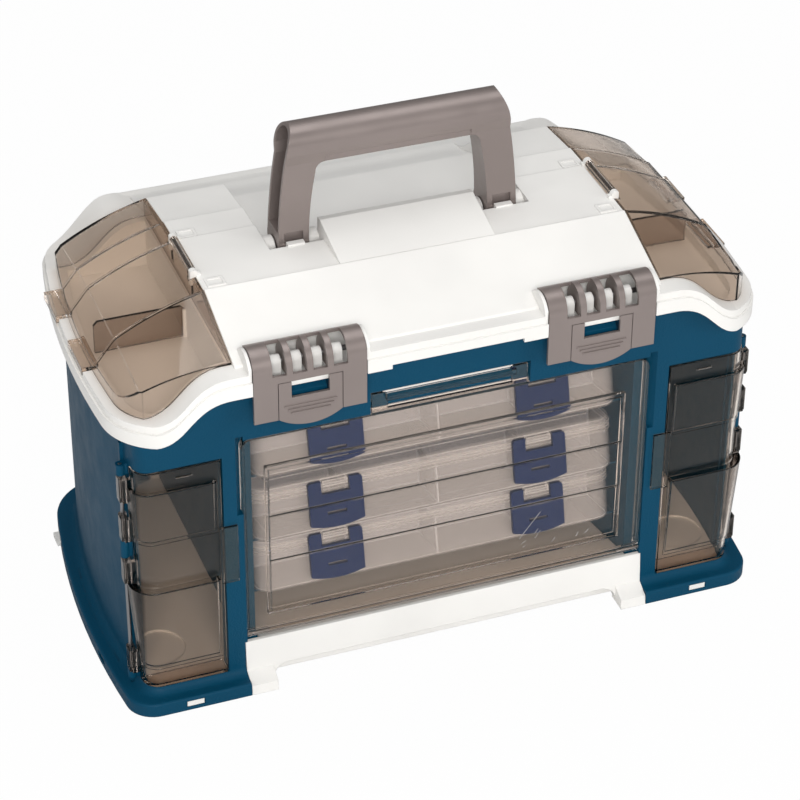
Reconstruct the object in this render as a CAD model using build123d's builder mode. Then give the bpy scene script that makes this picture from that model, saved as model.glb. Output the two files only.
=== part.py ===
from build123d import *
from math import cos, radians, sin, tan
import os

# Fishing tackle cabinet, millimetres. +X right, front faces -Y, +Z up, origin on the floor under the middle.

# ---- overall sizes
HALF_DEPTH = 145.5
BOW_X = 256.4
BOW_Y = -17.0
FRONT_X = 248.5
REAR_X = 234.5
FOOT_FRONT_R = 22.0
FOOT_REAR_R = 48.0
WALL = 3.0
FLANGE_H = 11.0

# ---- body
BODY_IN = 14.0
BODY_HALF_DEPTH = 131.5
BODY_FRONT_R = 12.0
BODY_REAR_R = 34.0
FLARE = 7.0
FLOOR_TOP = 10.7
DECK_Z = 226.0
JOINT_X = 160.0
BAY_X = 149.0
POST_X = 171.5
POST_BACK = -112.0

# ---- parting line between body and lid
PART_MID = 268.0
PART_END = 237.0
SWEEP_IN = 168.0
SWEEP_OUT = 222.0
CENTRE_NOTCH_X = 50.0
CENTRE_NOTCH = 3.4
LIP_H = 17.0
TUCK = 4.0

# ---- lid
LID_IN = 3.4
LID_CORNER_R = 50.0
PANEL_X = 161.7
STEP = 1.2
RIDGE_1 = (-63.0, 308.5)
RIDGE_2 = (9.0, 308.2)
RIDGE_3 = (39.0, 306.5)
RIDGE_4 = (85.5, 300.7)
PANEL_FRONT = (-131.0, 285.5)
POCKET_FLOOR = 246.0
POCKET_WALL = 2.5
POCKET_IN = 17.0
POCKET_X = 166.0
POCKET_Y = -22.0
POCKET_L = 200.0
COVER_FRONT = -127.0
COVER_BACK = 85.5
SHELL = 2.0
GAP = 0.5
RUN = 0.08

# ---- handle
PIVOT_Y = -7.8
PIVOT_Z = 302.6
FOOT_R = 14.0
HANDLE_TOP = 397.6
HANDLE_WALL = 2.6
GRIP_HALF = 14.5
LEG_HALF = 12.2
STRIP_X = 56.0
GRIP_UNDER = 369.0
LEG_FOOT_IN = 69.4
LEG_FOOT_OUT = 92.5
LEG_TOP_IN = 62.0
LEG_TOP_OUT = 79.5
RECESS_X = 101.0
RECESS_FLOOR = 287.3
RECESS_BACK = 150.0
BLOCK_X = 59.7
BLOCK_BACK = -11.0
BLOCK_TOP = 319.6
SLOT_FRONT = -26.3

# ---- lid hinge at the rear
HINGE_Y = 139.0
HINGE_Z = 260.0
KNUCKLE_R = 6.0
ROD_R = 2.5
HINGE_X = 100.0

# ---- lid latches
LATCH_X = 110.6
LATCH_HALF = 41.7
BARREL_Y = -130.0
BARREL_Z = 283.5
LATCH_R = 15.0
LATCH_WALL = 2.6
LATCH_FOOT = 243.5
BARREL_R = 5.0
LATCH_PIN_R = 2.0
RIB_PITCH = 15.0
PADDLE_Z = 248.5
PADDLE_HALF = 23.5
CATCH_TOP = 264.8
PADDLE_TOP = 273.8
WINDOW_HALF = 14.0
WINDOW_FOOT = 260.5
FINGER_RIBS = (247.6, 250.6, 253.6)

# ---- doors
DOOR_X = 157.7
DOOR_FOOT = 47.0
DOOR_TOP = 221.0
DOOR_FACE = -130.0
DOOR_T = 2.4
DOOR_AXIS = (-126.6, 44.6)
DOOR_BARREL = 3.2
TAB_X = 60.0
TAB_TOP = 238.0
RELIEF_X = 138.0
CORNER_IN = 174.5
CORNER_FOOT = 16.5
CORNER_TOP = 210.3
CORNER_AXIS = (242.0, -111.5)
CORNER_BARREL = 3.4
CORNER_PIN = 1.5
RIB_X = 240.6

# ---- utility boxes
TILT = 13.0
BOX_X = 143.0
BOX_L = 184.0
BOX_H = 43.5
BOX_LID_H = 8.0
BOX_WALL = 1.6
BOX_R = 12.0
BOX_FRONT_Y = -111.5
BOX_LEVELS = (65.0, 112.3, 170.5)
BOX_LATCH_IN = 59.7
BOX_LATCH_OUT = 101.8
RAIL_T = 1.9
BOX_RIM = 0.8

os.makedirs("parts", exist_ok=True)


def outline(side_in, half_depth, r_front, r_rear):
    """Bow-sided plan of the cabinet, drawn in at the sides and cut to a half depth."""
    with BuildSketch() as plan:
        with BuildLine():
            Line((-FRONT_X + side_in, -half_depth), (FRONT_X - side_in, -half_depth))
            ThreePointArc(
                (FRONT_X - side_in, -half_depth), (BOW_X - side_in, BOW_Y), (REAR_X - side_in, half_depth)
            )
            Line((REAR_X - side_in, half_depth), (-REAR_X + side_in, half_depth))
            ThreePointArc(
                (-REAR_X + side_in, half_depth), (-BOW_X + side_in, BOW_Y), (-FRONT_X + side_in, -half_depth)
            )
        make_face()
        fillet(plan.vertices().group_by(Axis.Y)[0], r_front)
        fillet(plan.vertices().group_by(Axis.Y)[-1], r_rear)
    return plan.sketch


def foot_plan(inset):
    """Plan of the foot flange drawn in all round."""
    return outline(inset, HALF_DEPTH - inset, max(FOOT_FRONT_R - inset, 4.0), FOOT_REAR_R - inset)


def body_plan(inset):
    """Plan of the upright walls drawn in all round."""
    front_r = max(BODY_FRONT_R - inset, 3.0)
    return outline(BODY_IN + inset, BODY_HALF_DEPTH - inset, front_r, BODY_REAR_R - inset)


def lid_plan(inset):
    """Plan of the lid drawn in all round."""
    corner = LID_CORNER_R - inset
    return outline(LID_IN + inset, HALF_DEPTH - inset, corner, corner)


def slab(plan, low, high, mode=Mode.ADD):
    """A plan outline raised between two heights."""
    extrude(Plane.XY.offset(low) * plan, amount=high - low, mode=mode)


def prism(plane, points, amount, mode=Mode.ADD):
    """A closed polygon pushed along its plane's normal."""
    with BuildSketch(plane) as face:
        with BuildLine():
            Polyline(*points, close=True)
        make_face()
    extrude(face.sketch, amount=amount, mode=mode)


def block(xs, ys, zs, mode=Mode.ADD):
    """A block between two corners."""
    with Locations(((xs[0] + xs[1]) / 2, (ys[0] + ys[1]) / 2, (zs[0] + zs[1]) / 2)):
        Box(abs(xs[1] - xs[0]), abs(ys[1] - ys[0]), abs(zs[1] - zs[0]), mode=mode)


def rod_x(xs, y, z, radius, mode=Mode.ADD):
    """A round bar along X."""
    with Locations(((xs[0] + xs[1]) / 2, y, z)):
        Cylinder(radius, abs(xs[1] - xs[0]), rotation=(0, 90, 0), mode=mode)


def rod_y(x, ys, z, radius, mode=Mode.ADD):
    """A round bar along Y."""
    with Locations((x, (ys[0] + ys[1]) / 2, z)):
        Cylinder(radius, abs(ys[1] - ys[0]), rotation=(90, 0, 0), mode=mode)


def rod_z(x, y, zs, radius, mode=Mode.ADD):
    """An upright round bar."""
    with Locations((x, y, (zs[0] + zs[1]) / 2)):
        Cylinder(radius, abs(zs[1] - zs[0]), mode=mode)


def save(builder, name):
    """Labels one piece and writes it out."""
    builder.part.label = name
    export_step(builder.part, "parts/" + name + ".step")


def swept_edge(lift, ceiling):
    """Front-view area between the parting line, lifted, and a ceiling height."""
    top = max(ceiling, PART_MID + lift + 1.0)
    reach = BOW_X + 20.0
    with BuildSketch(Plane.XZ.offset(-HALF_DEPTH - 10.0)) as area:
        with BuildLine():
            Line((-SWEEP_IN, PART_MID + lift), (SWEEP_IN, PART_MID + lift))
            Spline(
                (SWEEP_IN, PART_MID + lift),
                (SWEEP_OUT, PART_END + lift),
                tangents=((1.0, 0.0), (1.0, -0.25)),
            )
            Line((SWEEP_OUT, PART_END + lift), (reach, PART_END + lift - 1.0))
            Line((reach, PART_END + lift - 1.0), (reach, top))
            Line((reach, top), (-reach, top))
            Line((-reach, top), (-reach, PART_END + lift - 1.0))
            Line((-reach, PART_END + lift - 1.0), (-SWEEP_OUT, PART_END + lift))
            Spline(
                (-SWEEP_OUT, PART_END + lift),
                (-SWEEP_IN, PART_MID + lift),
                tangents=((1.0, 0.25), (1.0, 0.0)),
            )
        make_face()
    return area.sketch


FULL = 2.0 * HALF_DEPTH + 20.0

# ---- base: floor, ramp under the boxes, sill skirts and feet
with BuildPart() as base:
    slab(foot_plan(WALL + 0.4), 3.0, 7.5)
    slab(body_plan(WALL + 0.4), 7.4, FLOOR_TOP)
    slab(foot_plan(WALL + 0.4), 0.8, 3.1)
    slab(foot_plan(2.0 * WALL + 0.4), 0.0, 3.0, mode=Mode.SUBTRACT)
    for face in (-1.0, 1.0):
        skirt_low = (face * 134.0, 0.8)
        skirt_top = (face * 131.0, 39.5)
        block(
            (-JOINT_X + 0.3, JOINT_X - 0.3),
            (face * 131.0, face * (HALF_DEPTH + 1.0)),
            (-1.0, FLOOR_TOP + 1.0),
            mode=Mode.SUBTRACT,
        )
        prism(
            Plane.YZ.offset(-JOINT_X + 0.3),
            (skirt_low, skirt_top, (face * 128.0, 39.5), (face * 130.9, 0.8)),
            2.0 * JOINT_X - 0.6,
        )
        for side in (-1.0, 1.0):
            prism(
                Plane.YZ.offset(side * (JOINT_X - 0.3)),
                (
                    (face * 128.0, 0.0),
                    (face * HALF_DEPTH, 0.0),
                    (face * (HALF_DEPTH - 1.0), 8.0),
                    (face * 133.0, FLOOR_TOP + 3.0),
                    (face * 128.0, FLOOR_TOP + 3.0),
                ),
                -side * 20.5,
            )
        with BuildSketch(Plane.XZ.offset(-face * 150.0)) as arch:
            with BuildLine():
                Line((-139.0, -1.0), (139.0, -1.0))
                Line((139.0, -1.0), (139.0, 4.0))
                ThreePointArc((139.0, 4.0), (135.0, 11.0), (126.0, 14.0))
                Line((126.0, 14.0), (-126.0, 14.0))
                ThreePointArc((-126.0, 14.0), (-135.0, 11.0), (-139.0, 4.0))
                Line((-139.0, 4.0), (-139.0, -1.0))
            make_face()
        extrude(arch.sketch, amount=face * 25.0, mode=Mode.SUBTRACT)
    ramp_end = -128.0 + (39.5 - FLOOR_TOP) / tan(radians(TILT))
    prism(
        Plane.YZ.offset(-BAY_X + 1.0),
        (
            (-129.5, 39.5),
            (-129.5, 36.5),
            (ramp_end - 12.0, FLOOR_TOP - 2.8),
            (ramp_end, FLOOR_TOP - 2.8),
            (ramp_end, FLOOR_TOP),
        ),
        2.0 * BAY_X - 2.0,
    )
    for side in (-1.0, 1.0):
        block((side * 197.0, side * 210.0), (-HALF_DEPTH + 0.15, -139.0), (3.6, 8.0))
        block((side * 184.0, side * 197.0), (HALF_DEPTH - 0.15, 139.0), (3.6, 8.0))
        rod_z(side * 214.0, -80.0, (FLOOR_TOP - 1.6, FLOOR_TOP + 2.0), 21.0, mode=Mode.SUBTRACT)
        for y in (-72.0, 82.0):
            block((side * 240.0, side * 251.0), (y - 6.5, y + 6.5), (3.6, 8.0))
save(base, "base")

# ---- body shell: bowed walls, foot flange, deck, box bay with ledges and front posts
with BuildPart() as body_shell:
    slab(foot_plan(0.0), 0.0, FLANGE_H)
    flange_rim = body_shell.edges().group_by(Axis.Z)[-1]
    fillet(flange_rim, 2.0)
    slab(body_plan(0.0), FLANGE_H - 1.0, PART_MID + TUCK)
    foot_seam = body_shell.edges().filter_by_position(Axis.Z, FLANGE_H - 0.1, FLANGE_H + 0.1)
    fillet(foot_seam.filter_by(lambda e: e.bounding_box().max.Z - e.bounding_box().min.Z < 0.1), FLARE)
    extrude(swept_edge(TUCK, PART_MID + 60.0), amount=FULL, mode=Mode.SUBTRACT)
    slab(foot_plan(WALL), -1.0, 8.0, mode=Mode.SUBTRACT)
    slab(body_plan(WALL), -1.0, DECK_Z, mode=Mode.SUBTRACT)
    slab(body_plan(WALL), DECK_Z + WALL, PART_MID + 60.0, mode=Mode.SUBTRACT)
    for face in (-1.0, 1.0):
        block(
            (-JOINT_X, JOINT_X),
            (face * (BODY_HALF_DEPTH - WALL - 0.5), face * (HALF_DEPTH + 1.0)),
            (-1.0, 39.9 if face < 0 else 14.4),
            mode=Mode.SUBTRACT,
        )
    block(
        (-JOINT_X, JOINT_X),
        (BODY_HALF_DEPTH - WALL - 4.0, HALF_DEPTH + 1.0),
        (-1.0, 39.9),
        mode=Mode.SUBTRACT,
    )
    for side in (-1.0, 1.0):
        block((side * BAY_X, side * (BAY_X + WALL)), (-128.0, 127.6), (FLOOR_TOP + 0.3, DECK_Z + 1.0))
        block((side * BAY_X, side * (BAY_X + WALL)), (127.0, 129.0), (40.4, DECK_Z + 1.0))
        block((side * BAY_X, side * POST_X), (-BODY_HALF_DEPTH, POST_BACK), (FLOOR_TOP + 0.3, DECK_Z + 1.0))
        block(
            (side * (BAY_X - 1.0), side * JOINT_X),
            (-HALF_DEPTH, -126.0),
            (0.0, 39.9),
            mode=Mode.SUBTRACT,
        )
    block((-POST_X, POST_X), (-BODY_HALF_DEPTH, -122.0), (223.5, DECK_Z + 16.5))
    for level in BOX_LEVELS:
        for side in (-1.0, 1.0):
            run = BOX_L + 8.0
            start = (BOX_FRONT_Y - 0.3 * sin(radians(TILT)), level - 0.3 * cos(radians(TILT)))
            end = (start[0] + run * cos(radians(TILT)), start[1] - run * sin(radians(TILT)))
            drop = RAIL_T / cos(radians(TILT))
            prism(
                Plane.YZ.offset(side * (BAY_X + 0.5)),
                (start, end, (end[0], end[1] - drop), (start[0], start[1] - drop)),
                -side * 11.5,
            )
            stop = (end[0] - 5.0 * cos(radians(TILT)), end[1] + 5.0 * sin(radians(TILT)))
            prism(
                Plane.YZ.offset(side * (BAY_X + 0.5)),
                (stop, (stop[0] + 1.2, stop[1] + 8.0), (end[0] + 2.0, end[1] + 8.0), end),
                -side * 11.5,
            )
    # the door opening, its funnel-shaped surround and the taller centre notch for the finger tab
    block((-DOOR_X - GAP, DOOR_X + GAP), (-140.0, -121.0), (39.9, DOOR_TOP + 1.5), mode=Mode.SUBTRACT)
    block((-BAY_X, BAY_X), (-140.0, -100.0), (39.9, DOOR_TOP + 1.5), mode=Mode.SUBTRACT)
    block((-TAB_X - 1.5, TAB_X + 1.5), (-140.0, -124.5), (200.0, TAB_TOP + 3.0), mode=Mode.SUBTRACT)
    for side in (-1.0, 1.0):
        prism(
            Plane.XY.offset(158.0),
            (
                (side * (DOOR_X + GAP - 1.0), -124.0),
                (side * (DOOR_X + GAP), -124.0),
                (side * (POST_X - 3.0), -140.0),
                (side * (DOOR_X + GAP - 1.0), -140.0),
            ),
            DOOR_TOP + 5.0 - 158.0,
            mode=Mode.SUBTRACT,
        )
        # corner compartment opening wraps the front corner
        block(
            (side * (CORNER_IN - GAP - 1.0), side * 260.0),
            (-140.0, CORNER_AXIS[1] - 5.0),
            (CORNER_FOOT - 0.6, CORNER_TOP + 0.6),
            mode=Mode.SUBTRACT,
        )
        knuckle_x = side * CORNER_AXIS[0]
        for low, high in ((16.0, 25.0), (128.0, 146.0), (201.0, 210.0)):
            block(
                (side * 236.0, knuckle_x),
                (CORNER_AXIS[1] - 2.0, CORNER_AXIS[1] + CORNER_BARREL),
                (low, high),
            )
            rod_z(knuckle_x, CORNER_AXIS[1], (low, high), CORNER_BARREL)
        rod_z(knuckle_x, CORNER_AXIS[1], (10.0, 214.0), CORNER_PIN, mode=Mode.SUBTRACT)
        # front door pivot holes
        rod_x((side * 157.0, side * 168.0), DOOR_AXIS[0], DOOR_AXIS[1], 1.5, mode=Mode.SUBTRACT)
        # lower top edge behind each latch, and the latch catches
        block(
            (side * LATCH_X - LATCH_HALF - 4.5, side * LATCH_X + LATCH_HALF + 4.5),
            (-140.0, -105.0),
            (PART_MID - 0.6, PART_MID + 30.0),
            mode=Mode.SUBTRACT,
        )
        prism(
            Plane.YZ.offset(side * LATCH_X - WINDOW_HALF + 0.5),
            ((-131.0, 251.5), (-140.2, 253.0), (-140.2, 262.4), (-136.0, CATCH_TOP), (-131.0, CATCH_TOP)),
            2.0 * WINDOW_HALF - 1.0,
        )
        # the rear corners drop under the swing of the lid's lip
        block((side * 194.0, side * 218.0), (119.0, 140.0), (PART_END + 9.2, 300.0), mode=Mode.SUBTRACT)
        # upright rib behind the corner hinge
        block((side * 234.0, side * RIB_X), (CORNER_AXIS[1] + 4.5, CORNER_AXIS[1] + 8.0), (16.0, 224.0))
        # rear hinge knuckles
        for shift in (-23.0, 23.0):
            xs = (side * HINGE_X + shift - 7.2, side * HINGE_X + shift + 7.2)
            rod_x(xs, HINGE_Y, HINGE_Z, KNUCKLE_R)
            prism(
                Plane.YZ.offset(xs[0]),
                ((131.0, 266.0), (HINGE_Y, 266.0), (HINGE_Y, 254.0), (131.0, 244.0)),
                xs[1] - xs[0],
            )
        rod_x((side * HINGE_X - 40.0, side * HINGE_X + 40.0), HINGE_Y, HINGE_Z, ROD_R, mode=Mode.SUBTRACT)
    # slots in the flange edge for the tabs of the base
    for side in (-1.0, 1.0):
        block((side * 196.4, side * 210.6), (-HALF_DEPTH - 1.0, -138.0), (3.3, 8.3), mode=Mode.SUBTRACT)
        block((side * 183.4, side * 197.6), (HALF_DEPTH + 1.0, 138.0), (3.3, 8.3), mode=Mode.SUBTRACT)
        for y in (-72.0, 82.0):
            block((side * 238.0, side * 262.0), (y - 7.1, y + 7.1), (3.3, 8.3), mode=Mode.SUBTRACT)
save(body_shell, "body_shell")


def roof_profile(inset):
    """Side view of the lid's middle: lip, front slope, stepped ridges and the fall to the back."""
    with BuildSketch(Plane.YZ) as roof:
        with BuildLine():
            Polyline(
                (-HALF_DEPTH, 200.0),
                (-HALF_DEPTH, 280.5),
                (-142.0, 284.3),
                (PANEL_FRONT[0] - 1.5, PANEL_FRONT[1] - 0.8),
                (PANEL_FRONT[0], PANEL_FRONT[1] + 1.0),
                RIDGE_1,
                (RIDGE_1[0] + 0.8, RIDGE_1[1] - STEP),
                RIDGE_2,
                (RIDGE_2[0] + 0.8, RIDGE_2[1] - STEP),
                RIDGE_3,
                (RIDGE_3[0] + 0.8, RIDGE_3[1] - STEP),
                RIDGE_4,
                (RIDGE_4[0] + 0.8, RIDGE_4[1] - STEP),
                (-PANEL_FRONT[0], PANEL_FRONT[1] + 1.0),
                (142.0, 284.3),
                (HALF_DEPTH, 280.5),
                (HALF_DEPTH, 200.0),
                close=True,
            )
        make_face()
        if inset > 0.0:
            offset(amount=-inset, kind=Kind.INTERSECTION)
    return roof.sketch


def roof(inset, half_width, mode=Mode.ADD):
    """The lid's middle pushed out to both sides."""
    extrude(Plane.YZ.offset(-half_width) * roof_flat(inset), amount=2.0 * half_width, mode=mode)


def roof_flat(inset):
    """The roof profile laid in the XY plane, ready to be placed."""
    return roof_profile(inset).moved(Plane.YZ.location.inverse())


def lid_block(inset):
    """The lid as a full block drawn in by one thickness."""
    slab(lid_plan(inset), 200.0, 300.0)
    extrude(swept_edge(LIP_H - inset, PART_MID + 60.0), amount=FULL, mode=Mode.SUBTRACT)
    roof(inset, PANEL_X - inset)
    slab(lid_plan(inset), 190.0, 340.0, mode=Mode.INTERSECT)


def pocket_plan(side, wall):
    """Plan of the pocket under one smoked cover, grown by its wall."""
    with BuildSketch() as plan:
        add(lid_plan(POCKET_IN - wall))
        with Locations((side * (POCKET_X - wall + 60.0), POCKET_Y)):
            Rectangle(120.0, POCKET_L + 2.0 * wall, mode=Mode.INTERSECT)
    return plan.sketch


TABS_Y = ((-54.0, -15.5), (18.0, 53.0))
BAR_Y = (-38.5, 6.7)
BAR_X = 163.4
BAR_Z = 309.8
BAR_R = 3.3
BAR_PIN = 1.2
NOTCH_R = LATCH_R + 0.5
FRAMES = ((-54.0, 307.5), (16.0, 307.0))
LIP_STEPS = ((5.5, 0.9), (11.0, 1.8))
SLOT_XS = tuple((n - 1.5) * RIB_PITCH for n in range(4))

# ---- lid
with BuildPart() as lid_cavity:
    lid_block(WALL)
    for side in (-1.0, 1.0):
        # walls of the pockets under the smoked covers
        slab(pocket_plan(side, POCKET_WALL), POCKET_FLOOR - POCKET_WALL, 300.0, mode=Mode.SUBTRACT)
        # walls of the handle recess
        block(
            (side * (BLOCK_X - WALL), side * (RECESS_X + WALL)),
            (SLOT_FRONT - WALL, BLOCK_BACK + 1.0),
            (RECESS_FLOOR - WALL, 330.0),
            mode=Mode.SUBTRACT,
        )
        # thickening under the latch notches and the cover tabs
        for ys in TABS_Y:
            block((side * 240.0, side * 262.0), (ys[0] - 3.0, ys[1] + 3.0), (246.0, 270.0), mode=Mode.SUBTRACT)
        xs = (side * LATCH_X - LATCH_HALF - WALL, side * LATCH_X + LATCH_HALF + WALL)
        rod_x(xs, BARREL_Y, BARREL_Z, NOTCH_R + 2.6, mode=Mode.SUBTRACT)
        block(xs, (-141.0, -138.0), (PART_MID, BARREL_Z), mode=Mode.SUBTRACT)
    block(
        (-RECESS_X - WALL, RECESS_X + WALL),
        (BLOCK_BACK - WALL, RECESS_BACK + WALL),
        (RECESS_FLOOR - WALL, 330.0),
        mode=Mode.SUBTRACT,
    )

with BuildPart() as lid_steps:
    for lift, inset in LIP_STEPS:
        with BuildSketch() as band:
            add(lid_plan(inset - 0.9))
            add(lid_plan(inset), mode=Mode.SUBTRACT)
        slab(band.sketch, 200.0, 300.0)
        extrude(swept_edge(lift, 400.0), amount=FULL, mode=Mode.INTERSECT)

with BuildPart() as pocket_trays:
    for side in (-1.0, 1.0):
        slab(pocket_plan(side, POCKET_WALL), POCKET_FLOOR - POCKET_WALL, 300.0)
    extrude(swept_edge(LIP_H, 400.0), amount=FULL, mode=Mode.SUBTRACT)

with BuildPart() as lid:
    lid_block(0.0)
    for side in (-1.0, 1.0):
        for y, z in FRAMES:
            block((side * 144.0, side * 158.0), (y - 5.5, y + 5.5), (z - 8.0, z + 0.7))
            block((side * 146.0, side * 156.0), (y - 3.5, y + 3.5), (z + 0.05, z + 4.0), mode=Mode.SUBTRACT)
    # raised block between the feet of the handle
    prism(
        Plane.YZ.offset(-BLOCK_X),
        (
            (RIDGE_1[0] + 1.0, RIDGE_1[1] - 4.0),
            (RIDGE_1[0] + 1.0, RIDGE_1[1] - 0.5),
            (BLOCK_BACK - 6.0, BLOCK_TOP - 0.6),
            (BLOCK_BACK, BLOCK_TOP - 1.6),
            (BLOCK_BACK, RIDGE_1[1] - 4.0),
        ),
        2.0 * BLOCK_X,
    )
    for side in (-1.0, 1.0):
        xs = (side * LATCH_X - LATCH_HALF - WALL, side * LATCH_X + LATCH_HALF + WALL)
        rod_x(xs, BARREL_Y, BARREL_Z - 2.0, NOTCH_R)
        # ears for the cover hinge bars
        for ys in ((BAR_Y[0] - 4.6, BAR_Y[0] - 0.4), (BAR_Y[1] + 0.4, BAR_Y[1] + 4.6)):
            rod_y(side * BAR_X, ys, BAR_Z, BAR_R)
            block((side * 158.0, side * (BAR_X + BAR_R)), ys, (300.0, BAR_Z), mode=Mode.ADD)
    slab(lid_plan(0.0), 190.0, 340.0, mode=Mode.INTERSECT)
    extrude(swept_edge(0.0, 400.0), amount=FULL, mode=Mode.INTERSECT)
    add(lid_cavity.part, mode=Mode.SUBTRACT)
    add(lid_steps.part, mode=Mode.SUBTRACT)
    # the pocket trays hang into the body below the parting line
    add(pocket_trays.part)
    # the lip is a little higher between the latches
    block(
        (-CENTRE_NOTCH_X, CENTRE_NOTCH_X),
        (-HALF_DEPTH - 1.0, -130.0),
        (PART_MID - 1.0, PART_MID + CENTRE_NOTCH),
        mode=Mode.SUBTRACT,
    )
    # recess and foot slots for the folded handle
    block(
        (-RECESS_X, RECESS_X),
        (BLOCK_BACK, RECESS_BACK),
        (RECESS_FLOOR, 340.0),
        mode=Mode.SUBTRACT,
    )
    for side in (-1.0, 1.0):
        block(
            (side * BLOCK_X, side * RECESS_X),
            (SLOT_FRONT, BLOCK_BACK + 1.0),
            (RECESS_FLOOR, 340.0),
            mode=Mode.SUBTRACT,
        )
        rod_x((side * (BLOCK_X - 2.0), side * (RECESS_X + 2.0)), PIVOT_Y, PIVOT_Z, 3.0, mode=Mode.SUBTRACT)
        # stop tab in front of the handle's foot
        block(
            (side * (LEG_FOOT_IN + 5.0), side * (LEG_FOOT_OUT - 5.0)),
            (SLOT_FRONT - 1.0, PIVOT_Y - FOOT_R - GAP),
            (RECESS_FLOOR - 1.0, PIVOT_Z + 6.5),
        )
        # open pockets under the smoked covers
        slab(pocket_plan(side, 0.0), POCKET_FLOOR, 320.0, mode=Mode.SUBTRACT)
        # grooves for the pocket divider
        for groove in (-25.4, -20.4):
            block((side * 165.5, side * 168.5), (groove, groove - 1.6), (POCKET_FLOOR - 0.5, 270.0))
        # hinge bar gap in the edge of the roof
        block((side * (BAR_X - 4.2), side * 170.0), BAR_Y, (BAR_Z - 4.4, 330.0), mode=Mode.SUBTRACT)
        rod_y(side * BAR_X, (BAR_Y[0] - 4.0, BAR_Y[1] + 4.0), BAR_Z, BAR_PIN, mode=Mode.SUBTRACT)
        for ys in TABS_Y:
            block((side * 242.0, side * 262.0), (ys[0] - 0.6, ys[1] + 0.6), (249.8, 270.0), mode=Mode.SUBTRACT)
        # latch notch, its barrels and the pin bore
        xs = (side * LATCH_X - LATCH_HALF - GAP, side * LATCH_X + LATCH_HALF + GAP)
        rod_x(xs, BARREL_Y, BARREL_Z, NOTCH_R, mode=Mode.SUBTRACT)
        block(xs, (-150.0, -141.2), (255.0, BARREL_Z), mode=Mode.SUBTRACT)
        block(xs, (-150.0, -144.8), (BARREL_Z, BARREL_Z + 8.0), mode=Mode.SUBTRACT)
        for shift in SLOT_XS:
            barrel_xs = (side * LATCH_X + shift - 4.4, side * LATCH_X + shift + 4.4)
            rod_x(barrel_xs, BARREL_Y, BARREL_Z, BARREL_R)
            block(barrel_xs, (BARREL_Y - BARREL_R, BARREL_Y + 4.0), (PART_MID, BARREL_Z))
        rod_x(xs, BARREL_Y, BARREL_Z, LATCH_PIN_R, mode=Mode.SUBTRACT)
        # rear hinge knuckle
        knuckle = (side * HINGE_X - 15.4, side * HINGE_X + 15.4)
        rod_x(knuckle, HINGE_Y, HINGE_Z, KNUCKLE_R)
        block(knuckle, (HINGE_Y - 3.0, HALF_DEPTH - 0.5), (HINGE_Z, 274.0))
        rod_x(knuckle, HINGE_Y, HINGE_Z, ROD_R + RUN, mode=Mode.SUBTRACT)
save(lid, "lid")

with BuildPart() as lid_hinge_rods:
    for side in (-1.0, 1.0):
        rod_x((side * HINGE_X - 30.0, side * HINGE_X + 30.0), HINGE_Y, HINGE_Z, ROD_R)
save(lid_hinge_rods, "lid_hinge_rods")


def dome(y, z_inner, z_bend, thin):
    """Front-view section of a smoked cover at one station."""
    bend_x = BOW_X - 27.0 - thin
    mid = (0.5 * (PANEL_X + GAP + bend_x), 0.5 * (z_inner + z_bend) + 3.2 - thin)
    with BuildSketch(Plane.XZ.offset(-y)) as section:
        with BuildLine():
            Line((PANEL_X + GAP + thin, 230.0), (PANEL_X + GAP + thin, z_inner - thin))
            ThreePointArc((PANEL_X + GAP + thin, z_inner - thin), mid, (bend_x, z_bend - thin))
            Line((bend_x, z_bend - thin), (bend_x + 30.0, z_bend - thin - 38.0))
            Line((bend_x + 30.0, z_bend - thin - 38.0), (bend_x + 30.0, 230.0))
            Line((bend_x + 30.0, 230.0), (PANEL_X + GAP + thin, 230.0))
        make_face()
    return section.sketch


STATIONS = (
    (COVER_FRONT, PANEL_FRONT[1] + 1.5, 277.0),
    (RIDGE_1[0], RIDGE_1[1], 283.0),
    (RIDGE_2[0], RIDGE_2[1], 282.0),
    (RIDGE_3[0], RIDGE_3[1], 280.5),
    (COVER_BACK, RIDGE_4[1], 274.0),
)


def cover_form(thin):
    """Right-hand smoked cover as a full block drawn in by one thickness."""
    for first, second in zip(STATIONS[:-1], STATIONS[1:]):
        start = first[0] + (thin if first == STATIONS[0] else 0.0)
        finish = second[0] - (thin if second == STATIONS[-1] else 0.0)
        drop = 0.0 if first == STATIONS[0] else STEP
        front = dome(start, first[1] - drop, first[2] - drop, thin)
        back = dome(finish, second[1], second[2], thin)
        loft([front.face(), back.face()], ruled=True)
    slab(lid_plan(8.5 + thin), 200.0, 340.0, mode=Mode.INTERSECT)


with BuildPart() as cover_cavity:
    cover_form(SHELL)

with BuildPart() as cover_form_right:
    cover_form(0.0)
    add(cover_cavity.part, mode=Mode.SUBTRACT)
    extrude(swept_edge(LIP_H + 0.3, 400.0), amount=FULL, mode=Mode.INTERSECT)
    for ys in TABS_Y:
        block((238.0, 251.6), ys, (250.2, 256.2))
        block((230.0, 242.5), (ys[0] - 1.0, ys[1] + 1.0), (240.0, 254.2), mode=Mode.SUBTRACT)
    rod_y(BAR_X, (BAR_Y[0] + 0.1, BAR_Y[1] - 0.1), BAR_Z, BAR_R)
    for ys in ((BAR_Y[0] - 5.0, BAR_Y[0] - 0.0), (BAR_Y[1] + 0.0, BAR_Y[1] + 5.0)):
        block((160.0, BAR_X + BAR_R + 0.4), ys, (290.0, 320.0), mode=Mode.SUBTRACT)
    rod_y(BAR_X, (BAR_Y[0] - 1.0, BAR_Y[1] + 1.0), BAR_Z, BAR_PIN + RUN, mode=Mode.SUBTRACT)

with BuildPart() as lid_cover_right:
    add(cover_form_right.part)
save(lid_cover_right, "lid_cover_right")

with BuildPart() as lid_cover_left:
    mirror(cover_form_right.part, about=Plane.YZ)
save(lid_cover_left, "lid_cover_left")

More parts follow.
